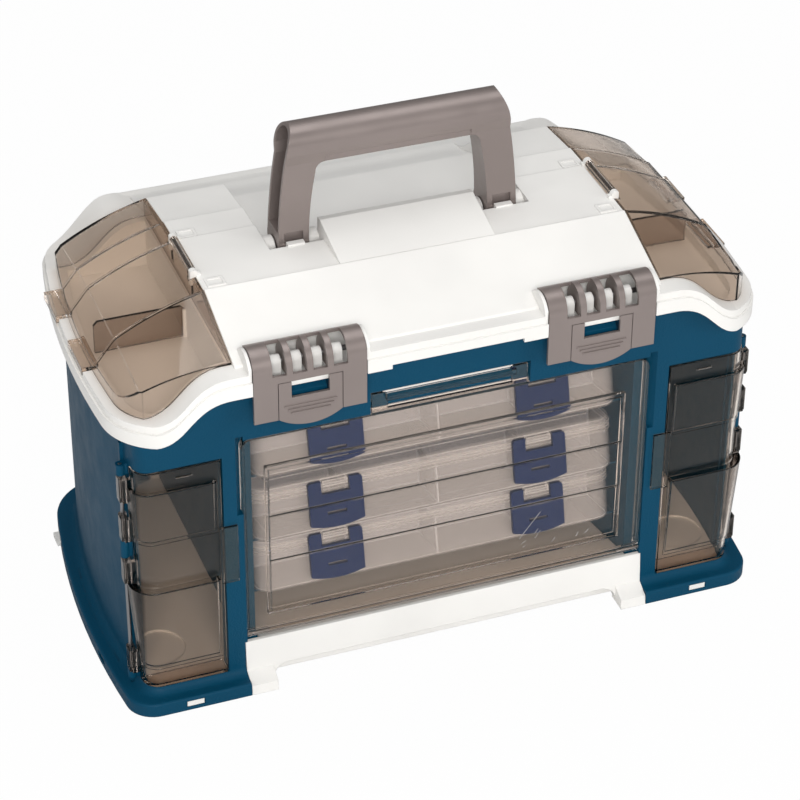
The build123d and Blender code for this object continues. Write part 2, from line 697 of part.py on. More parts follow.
with BuildPart() as cover_pins:
    for side in (-1.0, 1.0):
        rod_y(side * BAR_X, (BAR_Y[0] - 4.0, BAR_Y[1] + 4.0), BAR_Z, BAR_PIN)
save(cover_pins, "cover_pins")

for side, name in ((-1.0, "pocket_divider_left"), (1.0, "pocket_divider_right")):
    with BuildPart() as pocket_divider:
        block((side * 166.3, side * 233.0), (-25.1, -22.5), (POCKET_FLOOR + 0.1, 272.0))
        chamfer(pocket_divider.edges().filter_by(Axis.Y).group_by(Axis.Z)[-1], 3.0)
    save(pocket_divider, name)

# ---- handle
def grip_side(thin):
    """Side view of the handle about its pivot: leg, flared shoulder and round-topped grip."""
    shoulder = GRIP_UNDER + 1.0 - PIVOT_Z
    crown = HANDLE_TOP - PIVOT_Z - GRIP_HALF
    with BuildSketch(Plane.YZ.offset(-120.0)) as view:
        with BuildLine():
            Line((LEG_HALF + 1.0 - thin, 0.0), (LEG_HALF - thin, shoulder))
            Line((LEG_HALF - thin, shoulder), (GRIP_HALF - thin, shoulder + 8.0))
            Line((GRIP_HALF - thin, shoulder + 8.0), (GRIP_HALF - thin, crown))
            ThreePointArc((GRIP_HALF - thin, crown), (0.0, crown + GRIP_HALF - thin), (thin - GRIP_HALF, crown))
            Line((thin - GRIP_HALF, crown), (thin - GRIP_HALF, shoulder + 8.0))
            Line((thin - GRIP_HALF, shoulder + 8.0), (thin - LEG_HALF, shoulder))
            Line((thin - LEG_HALF, shoulder), (thin - LEG_HALF - 1.0, 0.0))
            Line((thin - LEG_HALF - 1.0, 0.0), (LEG_HALF + 1.0 - thin, 0.0))
        make_face()
        if thin == 0.0:
            Circle(FOOT_R)
    return view.sketch.moved(Location((0.0, PIVOT_Y, PIVOT_Z)))


with BuildPart() as grip_hollow:
    prism(
        Plane.XZ.offset(-PIVOT_Y + FOOT_R + 4.0),
        (
            (-130.0, PIVOT_Z + 12.0),
            (-130.0, HANDLE_TOP + 20.0),
            (130.0, HANDLE_TOP + 20.0),
            (130.0, PIVOT_Z + 12.0),
            (LEG_FOOT_IN + 4.0, PIVOT_Z + 12.0),
            (LEG_TOP_IN + 4.5, GRIP_UNDER - 4.0),
            (LEG_TOP_IN - 3.0, GRIP_UNDER + 2.8),
            (3.0 - LEG_TOP_IN, GRIP_UNDER + 2.8),
            (-LEG_TOP_IN - 4.5, GRIP_UNDER - 4.0),
            (-LEG_FOOT_IN - 4.0, PIVOT_Z + 12.0),
        ),
        -2.0 * FOOT_R - 8.0,
    )
    extrude(grip_side(HANDLE_WALL), amount=240.0, mode=Mode.INTERSECT)

with BuildPart() as handle:
    with BuildSketch(Plane.XZ.offset(-PIVOT_Y + FOOT_R + 4.0)) as arch_view:
        for side in (-1.0, 1.0):
            with BuildLine():
                Line((0.0, HANDLE_TOP), (side * LEG_TOP_OUT, HANDLE_TOP))
                ThreePointArc(
                    (side * LEG_TOP_OUT, HANDLE_TOP),
                    (side * (LEG_TOP_OUT + 5.0), HANDLE_TOP - 12.0),
                    (side * (LEG_TOP_OUT + 7.0), GRIP_UNDER + 2.0),
                )
                ThreePointArc(
                    (side * (LEG_TOP_OUT + 7.0), GRIP_UNDER + 2.0),
                    (side * (LEG_FOOT_OUT - 1.6), PIVOT_Z + 32.0),
                    (side * LEG_FOOT_OUT, PIVOT_Z + 6.0),
                )
                Line((side * LEG_FOOT_OUT, PIVOT_Z + 6.0), (side * LEG_FOOT_OUT, PIVOT_Z - FOOT_R))
                Line((side * LEG_FOOT_OUT, PIVOT_Z - FOOT_R), (side * LEG_FOOT_IN, PIVOT_Z - FOOT_R))
                Line((side * LEG_FOOT_IN, PIVOT_Z - FOOT_R), (side * LEG_FOOT_IN, PIVOT_Z + 6.0))
                ThreePointArc(
                    (side * LEG_FOOT_IN, PIVOT_Z + 6.0),
                    (side * (LEG_FOOT_IN - 1.6), PIVOT_Z + 32.0),
                    (side * (LEG_TOP_IN + 1.5), GRIP_UNDER - 7.0),
                )
                ThreePointArc(
                    (side * (LEG_TOP_IN + 1.5), GRIP_UNDER - 7.0),
                    (side * (LEG_TOP_IN - 0.6), GRIP_UNDER - 2.0),
                    (side * (LEG_TOP_IN - 6.0), GRIP_UNDER),
                )
                Line((side * (LEG_TOP_IN - 6.0), GRIP_UNDER), (0.0, GRIP_UNDER))
                Line((0.0, GRIP_UNDER), (0.0, HANDLE_TOP))
            make_face()
    extrude(arch_view.sketch, amount=-2.0 * FOOT_R - 8.0)
    extrude(grip_side(0.0), amount=240.0, mode=Mode.INTERSECT)
    add(grip_hollow.part, mode=Mode.SUBTRACT)
    for side in (-1.0, 1.0):
        rod_x((side * 60.0, side * 100.0), PIVOT_Y, PIVOT_Z, 3.0 + RUN, mode=Mode.SUBTRACT)
        # notch over the stop tab of the lid
        block(
            (side * (LEG_FOOT_IN + 4.4), side * (LEG_FOOT_OUT - 4.4)),
            (PIVOT_Y - FOOT_R - 1.0, PIVOT_Y - LEG_HALF + 2.0),
            (PIVOT_Z + 4.0, PIVOT_Z + 12.5),
            mode=Mode.SUBTRACT,
        )
        # set-back strip under the grip
        block(
            (-STRIP_X, STRIP_X),
            (PIVOT_Y + side * (LEG_HALF - 0.3), PIVOT_Y + side * (GRIP_HALF + 1.0)),
            (GRIP_UNDER - 1.0, GRIP_UNDER + 5.5),
            mode=Mode.SUBTRACT,
        )
save(handle, "handle")

with BuildPart() as handle_pins:
    for side in (-1.0, 1.0):
        rod_x((side * (BLOCK_X - 2.0), side * (RECESS_X + 2.0)), PIVOT_Y, PIVOT_Z, 3.0)
save(handle_pins, "handle_pins")

# ---- lid latches
for side, tag in ((-1.0, "left"), (1.0, "right")):
    centre = side * LATCH_X
    xs = (centre - LATCH_HALF, centre + LATCH_HALF)
    with BuildPart() as latch_plate:
        rod_x(xs, BARREL_Y, BARREL_Z, LATCH_R)
        rod_x(xs, BARREL_Y, BARREL_Z, LATCH_R - LATCH_WALL, mode=Mode.SUBTRACT)
        block(
            (xs[0] - 1.0, xs[1] + 1.0),
            (BARREL_Y - 20.0, BARREL_Y + 20.0),
            (BARREL_Z - 20.0, BARREL_Z),
            mode=Mode.SUBTRACT,
        )
        prism(
            Plane.YZ.offset(xs[0] - 1.0),
            (
                (BARREL_Y, BARREL_Z),
                (BARREL_Y + 20.0, BARREL_Z + 24.0),
                (BARREL_Y + 30.0, BARREL_Z - 1.0),
                (BARREL_Y, BARREL_Z - 1.0),
            ),
            xs[1] - xs[0] + 2.0,
            mode=Mode.SUBTRACT,
        )
        block(xs, (BARREL_Y - LATCH_R, BARREL_Y - LATCH_R + LATCH_WALL), (LATCH_FOOT, BARREL_Z))
        for shift in SLOT_XS:
            block(
                (centre + shift - 5.2, centre + shift + 5.2),
                (BARREL_Y - 20.0, BARREL_Y + 4.5),
                (BARREL_Z - 3.5, BARREL_Z + 20.0),
                mode=Mode.SUBTRACT,
            )
        for n in range(5):
            half = 1.5 if 0 < n < 4 else 2.4
            rib = centre + (n - 2.0) * RIB_PITCH
            if n in (0, 4):
                rib = centre + (n - 2.0) / 2.0 * (LATCH_HALF - half)
            rod_x((rib - half, rib + half), BARREL_Y, BARREL_Z, LATCH_R - LATCH_WALL + 0.2)
        for n in range(5):
            shave = centre + (n - 2.0) * RIB_PITCH
            block(
                (shave - 14.0, shave + 14.0),
                (BARREL_Y - 11.0, BARREL_Y + 20.0),
                (BARREL_Z - 20.0, BARREL_Z - 6.5),
                mode=Mode.SUBTRACT,
            )
        rod_x(xs, BARREL_Y, BARREL_Z, LATCH_PIN_R + RUN, mode=Mode.SUBTRACT)
        # opening for the paddle between two legs
        block(
            (centre - PADDLE_HALF - GAP, centre + PADDLE_HALF + GAP),
            (-150.0, -138.0),
            (LATCH_FOOT - 1.0, PADDLE_TOP + GAP),
            mode=Mode.SUBTRACT,
        )
        for end in (-1.0, 1.0):
            rod_x(
                (centre + end * (PADDLE_HALF + GAP), centre + end * (PADDLE_HALF + 7.0)),
                BARREL_Y - LATCH_R + 2.4,
                PADDLE_Z,
                2.4,
            )
        rod_x(
            (centre - PADDLE_HALF - 6.0, centre + PADDLE_HALF + 6.0),
            BARREL_Y - LATCH_R + 2.4,
            PADDLE_Z,
            1.0,
            mode=Mode.SUBTRACT,
        )
    save(latch_plate, "latch_" + tag)
    with BuildPart() as latch_paddle:
        with BuildSketch(Plane.XZ.offset(-BARREL_Y + LATCH_R)) as paddle_face:
            with BuildLine():
                Line((centre - PADDLE_HALF, PADDLE_TOP), (centre - PADDLE_HALF, 243.5))
                ThreePointArc(
                    (centre - PADDLE_HALF, 243.5), (centre, 236.0), (centre + PADDLE_HALF, 243.5)
                )
                Line((centre + PADDLE_HALF, 243.5), (centre + PADDLE_HALF, PADDLE_TOP))
                Line((centre + PADDLE_HALF, PADDLE_TOP), (centre - PADDLE_HALF, PADDLE_TOP))
            make_face()
            with Locations((centre, WINDOW_FOOT + 10.0)):
                Rectangle(2.0 * WINDOW_HALF, 20.0, mode=Mode.SUBTRACT)
        extrude(paddle_face.sketch, amount=-2.4)
        for z in FINGER_RIBS:
            reach = 14.5 + 0.8 * (z - FINGER_RIBS[0])
            block(
                (centre - reach, centre + reach),
                (BARREL_Y - LATCH_R - 0.8, BARREL_Y - LATCH_R + 1.0),
                (z - 0.6, z + 0.6),
            )
        rod_x((centre - PADDLE_HALF, centre + PADDLE_HALF), BARREL_Y - LATCH_R + 2.4, PADDLE_Z, 2.4)
        rod_x(
            (centre - PADDLE_HALF - 1.0, centre + PADDLE_HALF + 1.0),
            BARREL_Y - LATCH_R + 2.4,
            PADDLE_Z,
            1.0 + RUN,
            mode=Mode.SUBTRACT,
        )
    save(latch_paddle, "latch_paddle_" + tag)
    with BuildPart() as paddle_pin:
        rod_x(
            (centre - PADDLE_HALF - 6.0, centre + PADDLE_HALF + 6.0),
            BARREL_Y - LATCH_R + 2.4,
            PADDLE_Z,
            1.0,
        )
    save(paddle_pin, "paddle_pin_" + tag)

with BuildPart() as latch_pins:
    for side in (-1.0, 1.0):
        rod_x(
            (side * LATCH_X - LATCH_HALF + 0.4, side * LATCH_X + LATCH_HALF - 0.4),
            BARREL_Y,
            BARREL_Z,
            LATCH_PIN_R,
        )
save(latch_pins, "latch_pins")

# ---- front door
RELIEF = ((-126.5, 190.0), (-131.0, 150.0), (-128.4, 146.5), (-131.4, 110.0), (-128.6, 106.5), (-127.0, 61.5))
with BuildPart() as front_door:
    with BuildSketch(Plane.XZ.offset(-DOOR_FACE)) as door_face:
        with Locations((0.0, 0.5 * (DOOR_FOOT + DOOR_TOP))):
            Rectangle(2.0 * DOOR_X, DOOR_TOP - DOOR_FOOT)
        fillet(door_face.vertices().group_by(Axis.Y)[-1], 9.0)
        with Locations((0.0, 0.5 * (DOOR_TOP + TAB_TOP) - 2.0)):
            Rectangle(2.0 * TAB_X, TAB_TOP - DOOR_TOP + 4.0)
    extrude(door_face.sketch, amount=-8.0)
    block(
        (-DOOR_X + DOOR_T, DOOR_X - DOOR_T),
        (DOOR_FACE + DOOR_T, DOOR_FACE + 10.0),
        (DOOR_FOOT - 1.0, DOOR_TOP - DOOR_T),
        mode=Mode.SUBTRACT,
    )
    block(
        (-TAB_X - 1.0, TAB_X + 1.0),
        (DOOR_FACE + DOOR_T, DOOR_FACE + 10.0),
        (DOOR_TOP, TAB_TOP + 1.0),
        mode=Mode.SUBTRACT,
    )
    block(
        (-RELIEF_X - DOOR_T, RELIEF_X + DOOR_T),
        (DOOR_FACE + 0.5, DOOR_FACE + 6.0),
        (61.5 - DOOR_T, 190.0 + DOOR_T),
    )
    block((-RELIEF_X, RELIEF_X), (DOOR_FACE - 5.0, DOOR_FACE + 10.0), (61.5, 190.0), mode=Mode.SUBTRACT)
    relief_back = tuple((y + DOOR_T, z) for y, z in reversed(RELIEF))
    prism(Plane.YZ.offset(-RELIEF_X - 0.5), RELIEF + relief_back, 2.0 * RELIEF_X + 1.0)
    # finger bar and its opening
    block((-48.0, 48.0), (DOOR_FACE - 1.0, DOOR_FACE + 10.0), (224.0, 233.0), mode=Mode.SUBTRACT)
    block((-50.0, 50.0), (DOOR_FACE - 4.2, DOOR_FACE + 1.0), (233.0, 237.4))
    rod_x((-DOOR_X, DOOR_X), DOOR_AXIS[0], DOOR_AXIS[1], DOOR_BARREL)
    block((-DOOR_X, DOOR_X), (DOOR_FACE, DOOR_FACE + DOOR_T), (DOOR_AXIS[1], DOOR_FOOT + 1.0))
    rod_x((-DOOR_X - 1.0, DOOR_X + 1.0), DOOR_AXIS[0], DOOR_AXIS[1], 1.5 + RUN, mode=Mode.SUBTRACT)
save(front_door, "front_door")

with BuildPart() as front_door_pins:
    for side in (-1.0, 1.0):
        rod_x((side * 140.0, side * 168.0), DOOR_AXIS[0], DOOR_AXIS[1], 1.5)
save(front_door_pins, "front_door_pins")


def bulge_patch(z, rise, thin):
    """Corner of the wall plan, swollen outwards, for one level of a raised panel."""
    reach = 84.0 - thin
    depth = 31.0 - thin
    with BuildSketch(Plane.XY.offset(z)) as patch:
        add(body_plan(thin - rise))
        with Locations((BULGE_IN + thin + reach / 2, -150.0 + depth / 2)):
            Rectangle(reach, depth, mode=Mode.INTERSECT)
    return patch.sketch.face()


BULGE_IN = 178.0
BULGES = ((194.0, 148.0, 3.6, 1.8), (108.0, 34.0, 6.2, 1.8))
with BuildPart() as corner_bulges:
    for high, low, top_rise, foot_rise in BULGES:
        loft([bulge_patch(high, top_rise, 0.0), bulge_patch(low, foot_rise, 0.0)], ruled=True)

with BuildPart() as bulge_cavity:
    for high, low, top_rise, foot_rise in BULGES:
        top = bulge_patch(high - SHELL, top_rise, SHELL)
        loft([top, bulge_patch(low + SHELL, foot_rise, SHELL)], ruled=True)

with BuildPart() as corner_form:
    slab(body_plan(-0.6), CORNER_FOOT, CORNER_TOP)
    block((CORNER_IN, 262.0), (-150.0, -117.2), (0.0, 240.0), mode=Mode.INTERSECT)
    add(corner_bulges.part)
    slab(body_plan(-0.6 + SHELL), CORNER_FOOT + SHELL, CORNER_TOP - SHELL, mode=Mode.SUBTRACT)
    add(bulge_cavity.part, mode=Mode.SUBTRACT)
    block((163.5, 177.0), (-134.2, -132.0), (101.0, 151.0))
    for low, high in ((25.3, 45.0), (108.0, 127.7), (146.3, 166.0), (181.0, 200.7)):
        block((236.6, CORNER_AXIS[0] + 1.6), (-120.5, -117.2), (low, high))
        block((239.4, CORNER_AXIS[0] + CORNER_BARREL), (-118.5, CORNER_AXIS[1]), (low, high))
        rod_z(CORNER_AXIS[0], CORNER_AXIS[1], (low, high), CORNER_BARREL)
        block((230.0, 239.4), (-117.1, -100.0), (low - 1.0, high + 1.0), mode=Mode.SUBTRACT)
    rod_z(CORNER_AXIS[0], CORNER_AXIS[1], (10.0, 214.0), CORNER_PIN + RUN, mode=Mode.SUBTRACT)

with BuildPart() as corner_door_right:
    add(corner_form.part)
save(corner_door_right, "corner_door_right")

with BuildPart() as corner_door_left:
    mirror(corner_form.part, about=Plane.YZ)
save(corner_door_left, "corner_door_left")

with BuildPart() as corner_door_pins:
    for side in (-1.0, 1.0):
        rod_z(side * CORNER_AXIS[0], CORNER_AXIS[1], (16.0, 210.0), CORNER_PIN)
save(corner_door_pins, "corner_door_pins")


def tray(inset):
    """Plan of a utility box drawn in all round."""
    with BuildSketch() as plan:
        with Locations((0.0, BOX_L / 2)):
            RectangleRounded(2.0 * (BOX_X - inset), BOX_L - 2.0 * inset, max(BOX_R - inset, 3.0))
    return plan.sketch


# ---- utility boxes, drawn level and then tilted into the bay
TUB_H = BOX_H - BOX_LID_H
with BuildPart() as tub_form:
    slab(tray(0.0), 0.0, TUB_H)
    fillet(tub_form.faces().sort_by(Axis.Z)[0].edges(), 2.5)
    slab(tray(-BOX_RIM), TUB_H - 3.0, TUB_H)
    slab(tray(BOX_WALL), BOX_WALL, TUB_H + 1.0, mode=Mode.SUBTRACT)
    for row in (1, 2, 3):
        y = row * BOX_L / 4
        block((-BOX_X + 1.0, BOX_X - 1.0), (y - 0.7, y + 0.7), (1.0, TUB_H - 2.0))

with BuildPart() as box_lid_form:
    slab(tray(0.0), TUB_H + 0.1, BOX_H)
    fillet(box_lid_form.faces().sort_by(Axis.Z)[-1].edges(), 2.0)
    slab(tray(-BOX_RIM), TUB_H + 0.1, TUB_H + 2.4)
    # shallow panel sunk into the top
    slab(tray(14.0), BOX_H - 0.8, BOX_H + 1.0, mode=Mode.SUBTRACT)
    slab(tray(BOX_WALL), TUB_H - 1.0, BOX_H - BOX_WALL - 0.8, mode=Mode.SUBTRACT)
    for side in (-1.0, 1.0):
        middle = side * 0.5 * (BOX_LATCH_IN + BOX_LATCH_OUT)
        block((middle - 9.5, middle + 9.5), (-3.4, 2.0), (TUB_H + 0.6, TUB_H + 5.4))

with BuildPart() as divider_form:
    for row in range(4):
        y = (row + 0.5) * BOX_L / 4
        for shift in (-0.5, 0.0, 0.5):
            x = (shift + 0.08 * (row % 2)) * BOX_X
            block((x - 0.6, x + 0.6), (y - BOX_L / 8 + 1.8, y + BOX_L / 8 - 1.8), (BOX_WALL, TUB_H - 3.0))

with BuildPart() as box_latch_form:
    for side in (-1.0, 1.0):
        middle = side * 0.5 * (BOX_LATCH_IN + BOX_LATCH_OUT)
        half = 0.5 * (BOX_LATCH_OUT - BOX_LATCH_IN)
        with BuildSketch(Plane.XZ.offset(BOX_RIM)) as latch_view:
            with BuildLine():
                Line((middle - half, 41.0), (middle - half, 6.5))
                ThreePointArc((middle - half, 6.5), (middle, 3.2), (middle + half, 6.5))
                Line((middle + half, 6.5), (middle + half, 41.0))
                Line((middle + half, 41.0), (middle - half, 41.0))
            make_face()
            fillet(latch_view.vertices().group_by(Axis.Y)[-1], 3.0)
            with Locations((middle, 38.0)):
                Rectangle(22.0, 15.0, mode=Mode.SUBTRACT)
            with Locations((middle, 15.0)):
                Rectangle(15.0, 2.4, mode=Mode.SUBTRACT)
        extrude(latch_view.sketch, amount=3.4)

FORMS = (
    (tub_form, "tub"),
    (box_lid_form, "lid"),
    (divider_form, "dividers"),
    (box_latch_form, "latches"),
)
for number, level in enumerate(BOX_LEVELS, start=1):
    place = Location((0.0, BOX_FRONT_Y, level), (-TILT, 0.0, 0.0))
    for form, what in FORMS:
        with BuildPart() as box_piece:
            add(form.part.moved(place))
        save(box_piece, "box_" + str(number) + "_" + what)
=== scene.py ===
import math

import bmesh
import bpy
from mathutils import Matrix, Vector


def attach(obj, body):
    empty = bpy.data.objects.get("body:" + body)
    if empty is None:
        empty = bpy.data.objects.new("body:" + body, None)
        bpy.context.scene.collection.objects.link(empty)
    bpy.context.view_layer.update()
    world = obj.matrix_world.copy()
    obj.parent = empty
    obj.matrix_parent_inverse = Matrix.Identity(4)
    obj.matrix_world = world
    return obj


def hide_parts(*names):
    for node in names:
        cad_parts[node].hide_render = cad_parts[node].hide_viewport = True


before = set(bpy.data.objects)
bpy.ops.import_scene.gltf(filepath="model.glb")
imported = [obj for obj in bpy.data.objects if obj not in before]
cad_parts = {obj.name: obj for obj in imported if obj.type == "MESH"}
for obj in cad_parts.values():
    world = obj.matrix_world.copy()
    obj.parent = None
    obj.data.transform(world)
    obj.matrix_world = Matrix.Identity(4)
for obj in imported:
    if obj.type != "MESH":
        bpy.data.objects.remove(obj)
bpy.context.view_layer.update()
MM = 0.001

# bend radii, in metres, over which edges look worn, get painted shade or look dense
WORN_EDGE = 0.0007
BEND_SHADE_EDGE = 0.0012
DENSE_EDGE = 0.0016
SOFT_EDGE = 0.0006

# fixed heights and depths of the cabinet, in millimetres
HANDLE_PIVOT_Y = -7.8
DOOR_PANEL_FOOT = 61.5
DOOR_PANEL_Y = -127.05
DOOR_PANEL_LEAN = 1.6 / 45.0
CORNER_FACE_Y = -132.05
FORWARD = (0.0, -1.0, 0.0)


# ---------------------------------------------------------------- materials
def tree(name):
    """An empty node material and its tools."""
    mat = bpy.data.materials.new(name)
    mat.use_nodes = True
    nt = mat.node_tree
    nt.nodes.clear()
    out = nt.nodes.new("ShaderNodeOutputMaterial")
    return mat, nt, out


def node(nt, kind, **values):
    """A node with some of its sockets or fields set."""
    n = nt.nodes.new(kind)
    for key, value in values.items():
        if key in n.inputs:
            n.inputs[key].default_value = value
        else:
            setattr(n, key, value)
    return n


def noise(nt, scale, detail=2.0, rough=0.5):
    """Noise over object coordinates, in features per metre."""
    coord = node(nt, "ShaderNodeTexCoord")
    tex = node(nt, "ShaderNodeTexNoise")
    tex.inputs["Scale"].default_value = scale
    tex.inputs["Detail"].default_value = detail
    tex.inputs["Roughness"].default_value = rough
    nt.links.new(coord.outputs["Object"], tex.inputs["Vector"])
    return tex


def spread(nt, source, low, high, start=0.3, end=0.7):
    """Maps a grey value to a range."""
    m = node(nt, "ShaderNodeMapRange")
    m.inputs["From Min"].default_value = start
    m.inputs["From Max"].default_value = end
    m.inputs["To Min"].default_value = low
    m.inputs["To Max"].default_value = high
    nt.links.new(source, m.inputs["Value"])
    return m


def mix_rgb(nt, fac, a, b, blend="MIX"):
    m = node(nt, "ShaderNodeMix", data_type="RGBA", blend_type=blend)
    for socket, value in ((m.inputs[0], fac), (m.inputs[6], a), (m.inputs[7], b)):
        if isinstance(value, bpy.types.NodeSocket):
            nt.links.new(value, socket)
        elif isinstance(value, float):
            socket.default_value = value
        else:
            socket.default_value = (*value, 1.0)
    return m.outputs[2]


def edge_mask(nt, radius):
    """White where the surface bends sharply within a radius."""
    bevel = node(nt, "ShaderNodeBevel", samples=4)
    bevel.inputs["Radius"].default_value = radius
    geo = node(nt, "ShaderNodeNewGeometry")
    dot = node(nt, "ShaderNodeVectorMath", operation="DOT_PRODUCT")
    nt.links.new(bevel.outputs["Normal"], dot.inputs[0])
    nt.links.new(geo.outputs["Normal"], dot.inputs[1])
    m = spread(nt, dot.outputs["Value"], 1.0, 0.0, 0.82, 0.99)
    return m.outputs["Result"], bevel.outputs["Normal"]


def plastic(name, color, rough, grain=0.0, grain_scale=900.0, metal=0.0, wear=0.35, coat=0.0, gloss=0.5):
    """Moulded plastic: slight colour and gloss variation, grain, softened and worn edges."""
    mat, nt, out = tree(name)
    bsdf = node(nt, "ShaderNodeBsdfPrincipled")
    bsdf.inputs["Metallic"].default_value = metal
    bsdf.inputs["IOR"].default_value = 1.49
    bsdf.inputs["Specular IOR Level"].default_value = gloss
    bsdf.inputs["Coat Weight"].default_value = coat
    bsdf.inputs["Coat Roughness"].default_value = 0.25
    big = noise(nt, 9.0, 3.0)
    tone = spread(nt, big.outputs["Fac"], 0.0, 1.0)
    lo = tuple(c * 0.95 for c in color)
    hi = tuple(min(1.0, c * 1.05) for c in color)
    base = mix_rgb(nt, tone.outputs["Result"], lo, hi)
    mask, soft = edge_mask(nt, WORN_EDGE)
    scuff = noise(nt, 160.0, 4.0, 0.7)
    scuffed = spread(nt, scuff.outputs["Fac"], 0.0, wear, 0.4, 0.65)
    amount = node(nt, "ShaderNodeMath", operation="MULTIPLY")
    nt.links.new(mask, amount.inputs[0])
    nt.links.new(scuffed.outputs["Result"], amount.inputs[1])
    worn = tuple(min(1.0, c * 1.25 + 0.03) for c in color)
    base = mix_rgb(nt, amount.outputs["Value"], base, worn)
    nt.links.new(base, bsdf.inputs["Base Color"])
    fine = noise(nt, 55.0, 3.0)
    rough_map = spread(nt, fine.outputs["Fac"], rough - 0.05, rough + 0.05)
    nt.links.new(rough_map.outputs["Result"], bsdf.inputs["Roughness"])
    bump = node(nt, "ShaderNodeBump")
    bump.inputs["Distance"].default_value = 0.0004
    bump.inputs["Strength"].default_value = max(grain, 0.02)
    if grain > 0.1:
        coord = node(nt, "ShaderNodeTexCoord")
        cells = node(nt, "ShaderNodeTexVoronoi", feature="F1")
        cells.inputs["Scale"].default_value = grain_scale
        nt.links.new(coord.outputs["Object"], cells.inputs["Vector"])
        nt.links.new(cells.outputs["Distance"], bump.inputs["Height"])
    else:
        tiny = noise(nt, grain_scale, 3.0, 0.6)
        nt.links.new(tiny.outputs["Fac"], bump.inputs["Height"])
    nt.links.new(soft, bump.inputs["Normal"])
    nt.links.new(bump.outputs["Normal"], bsdf.inputs["Normal"])
    nt.links.new(bsdf.outputs["BSDF"], out.inputs["Surface"])
    return mat


def dark_hinge_edge(nt, base, start):
    """Darkens a clear plastic beyond a distance from the middle, where the thick hinge edge is."""
    coord = node(nt, "ShaderNodeTexCoord")
    split = node(nt, "ShaderNodeSeparateXYZ")
    nt.links.new(coord.outputs["Object"], split.inputs[0])
    away = node(nt, "ShaderNodeMath", operation="ABSOLUTE")
    nt.links.new(split.outputs["X"], away.inputs[0])
    dark = spread(nt, away.outputs[0], 0.0, 0.85, start, start + 0.002)
    return mix_rgb(nt, dark.outputs["Result"], base, (0.10, 0.08, 0.07))


def painted_bend_shade(nt, base, tint):
    """Painted shade: darkens a clear plastic where it bends sharply, in place of the dark lines that
    refraction puts along its bends.
    """
    bend_shade_mask, _ = edge_mask(nt, BEND_SHADE_EDGE)
    bend_shade_amount = node(nt, "ShaderNodeMath", operation="MULTIPLY")
    bend_shade_amount.inputs[1].default_value = 0.75
    nt.links.new(bend_shade_mask, bend_shade_amount.inputs[0])
    return mix_rgb(nt, bend_shade_amount.outputs[0], base, tuple(c * 0.35 for c in tint))


def wavy_normal(nt):
    """Slightly uneven surface with softened edges."""
    wavy = noise(nt, 45.0, 1.0)
    bevel = node(nt, "ShaderNodeBevel", samples=4)
    bevel.inputs["Radius"].default_value = SOFT_EDGE
    bump = node(nt, "ShaderNodeBump")
    bump.inputs["Distance"].default_value = 0.0006
    bump.inputs["Strength"].default_value = 0.12
    nt.links.new(wavy.outputs["Fac"], bump.inputs["Height"])
    nt.links.new(bevel.outputs["Normal"], bump.inputs["Normal"])
    return bump.outputs["Normal"]


def milky(nt, normal, tint, haze, haze_color):
    """Frosted surface: part see-through, part milky, denser along its edges."""
    milk = node(nt, "ShaderNodeBsdfPrincipled")
    milk.inputs["Roughness"].default_value = 0.35
    milk.inputs["Specular IOR Level"].default_value = 0.2
    milk.inputs["Base Color"].default_value = (*haze_color, 1.0)
    nt.links.new(normal, milk.inputs["Normal"])
    see = node(nt, "ShaderNodeBsdfTransparent")
    see.inputs["Color"].default_value = (*tint, 1.0)
    mask, _ = edge_mask(nt, DENSE_EDGE)
    denser = node(nt, "ShaderNodeMath", operation="MULTIPLY_ADD")
    denser.inputs[1].default_value = 0.75
    denser.inputs[2].default_value = haze
    nt.links.new(mask, denser.inputs[0])
    blend = node(nt, "ShaderNodeMixShader")
    nt.links.new(denser.outputs[0], blend.inputs[0])
    nt.links.new(see.outputs["BSDF"], blend.inputs[1])
    nt.links.new(milk.outputs["BSDF"], blend.inputs[2])
    return blend.outputs["Shader"]


def lets_light_pass(nt, surface, tint):
    """Gives shadow and diffuse rays a plain tinted way through the surface."""
    passing = node(nt, "ShaderNodeBsdfTransparent")
    passing.inputs["Color"].default_value = (*tint, 1.0)
    path = node(nt, "ShaderNodeLightPath")
    either = node(nt, "ShaderNodeMath", operation="MAXIMUM")
    nt.links.new(path.outputs["Is Shadow Ray"], either.inputs[0])
    nt.links.new(path.outputs["Is Diffuse Ray"], either.inputs[1])
    final = node(nt, "ShaderNodeMixShader")
    nt.links.new(either.outputs["Value"], final.inputs[0])
    nt.links.new(surface, final.inputs[1])
    nt.links.new(passing.outputs["BSDF"], final.inputs[2])
    return final.outputs["Shader"]


def clear(name, tint, rough=0.04, haze=0.0, haze_color=(0.8, 0.8, 0.85), edge_from=None):
    """Clear moulded plastic, tinted and, where haze is given, frosted."""
    mat, nt, out = tree(name)
    normal = wavy_normal(nt)
    if haze > 0.0:
        surface = milky(nt, normal, tint, haze, haze_color)
    else:
        bsdf = node(nt, "ShaderNodeBsdfPrincipled")
        bsdf.inputs["Transmission Weight"].default_value = 1.0
        bsdf.inputs["IOR"].default_value = 1.34
        cloud = noise(nt, 14.0, 3.0)
        tone = spread(nt, cloud.outputs["Fac"], 0.0, 1.0)
        base = mix_rgb(nt, tone.outputs["Result"], tuple(c * 0.96 for c in tint), tint)
        if edge_from:
            base = dark_hinge_edge(nt, base, edge_from)
        # painted shade: dark lines along the sharp bends of the clear plastic
        base = painted_bend_shade(nt, base, tint)
        nt.links.new(base, bsdf.inputs["Base Color"])
        fine = noise(nt, 70.0, 3.0)
        rough_map = spread(nt, fine.outputs["Fac"], max(0.01, rough - 0.02), rough + 0.03)
        nt.links.new(rough_map.outputs["Result"], bsdf.inputs["Roughness"])
        nt.links.new(normal, bsdf.inputs["Normal"])
        surface = bsdf.outputs["BSDF"]
    nt.links.new(lets_light_pass(nt, surface, tint), out.inputs["Surface"])
    return mat


